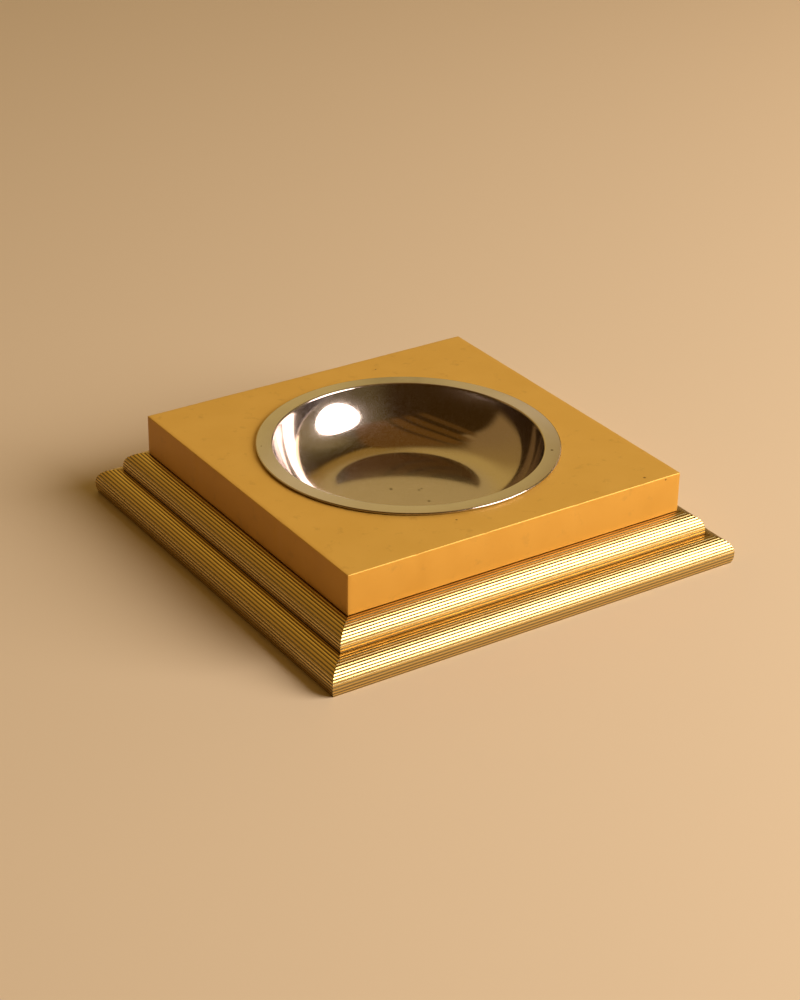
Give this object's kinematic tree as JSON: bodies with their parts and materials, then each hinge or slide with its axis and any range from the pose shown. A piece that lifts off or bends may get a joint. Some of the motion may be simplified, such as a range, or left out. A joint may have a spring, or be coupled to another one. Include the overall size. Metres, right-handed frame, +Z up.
{
  "type": "valet tray",
  "caption": "Square valet tray for keys and coins: a brass-clad block on two reeded brass tiers, with a spun steel bowl that lifts out.",
  "frame": {"origin": "centre of the felt underside, on the surface that the tray stands on", "axes": "+Z up out of the bowl, +X and +Y along the sides of the square"},
  "size_m": [0.2096, 0.2096, 0.0434],
  "materials": {
    "satin_brass_sheet": "satin lacquered sheet",
    "polished_reeded_brass": "polished",
    "brass_rod": "drawn",
    "polished_stainless_steel": "polished inside, satin flange",
    "beech_board": "planed, unfinished",
    "green_felt": "felt",
    "zinc_plated_steel": "zinc plated"
  },
  "bodies": {
    "base": {"top_cover": "satin_brass_sheet", "top_core": "beech_board", "upper_board": "beech_board", "upper_moulding_front": "polished_reeded_brass", "upper_moulding_right": "polished_reeded_brass", "upper_moulding_back": "polished_reeded_brass", "upper_moulding_left": "polished_reeded_brass", "lower_board": "beech_board", "lower_moulding_front": "polished_reeded_brass", "lower_moulding_right": "polished_reeded_brass", "lower_moulding_back": "polished_reeded_brass", "lower_moulding_left": "polished_reeded_brass", "upper_pin_front_1": "brass_rod", "upper_pin_front_2": "brass_rod", "upper_pin_right_1": "brass_rod", "upper_pin_right_2": "brass_rod", "upper_pin_back_1": "brass_rod", "upper_pin_back_2": "brass_rod", "upper_pin_left_1": "brass_rod", "upper_pin_left_2": "brass_rod", "lower_pin_front_1": "brass_rod", "lower_pin_front_2": "brass_rod", "lower_pin_right_1": "brass_rod", "lower_pin_right_2": "brass_rod", "lower_pin_back_1": "brass_rod", "lower_pin_back_2": "brass_rod", "lower_pin_left_1": "brass_rod", "lower_pin_left_2": "brass_rod", "assembly_screw_front_left": "zinc_plated_steel", "assembly_screw_front_right": "zinc_plated_steel", "assembly_screw_back_right": "zinc_plated_steel", "assembly_screw_back_left": "zinc_plated_steel", "base_felt": "green_felt"},
    "bowl": {"bowl": "polished_stainless_steel"}
  },
  "joints": [
    {"name": "bowl_lift", "type": "slide", "parent": "base", "child": "bowl", "axis": [0, 0, 1], "range_m": [0, 0.06]}
  ]
}
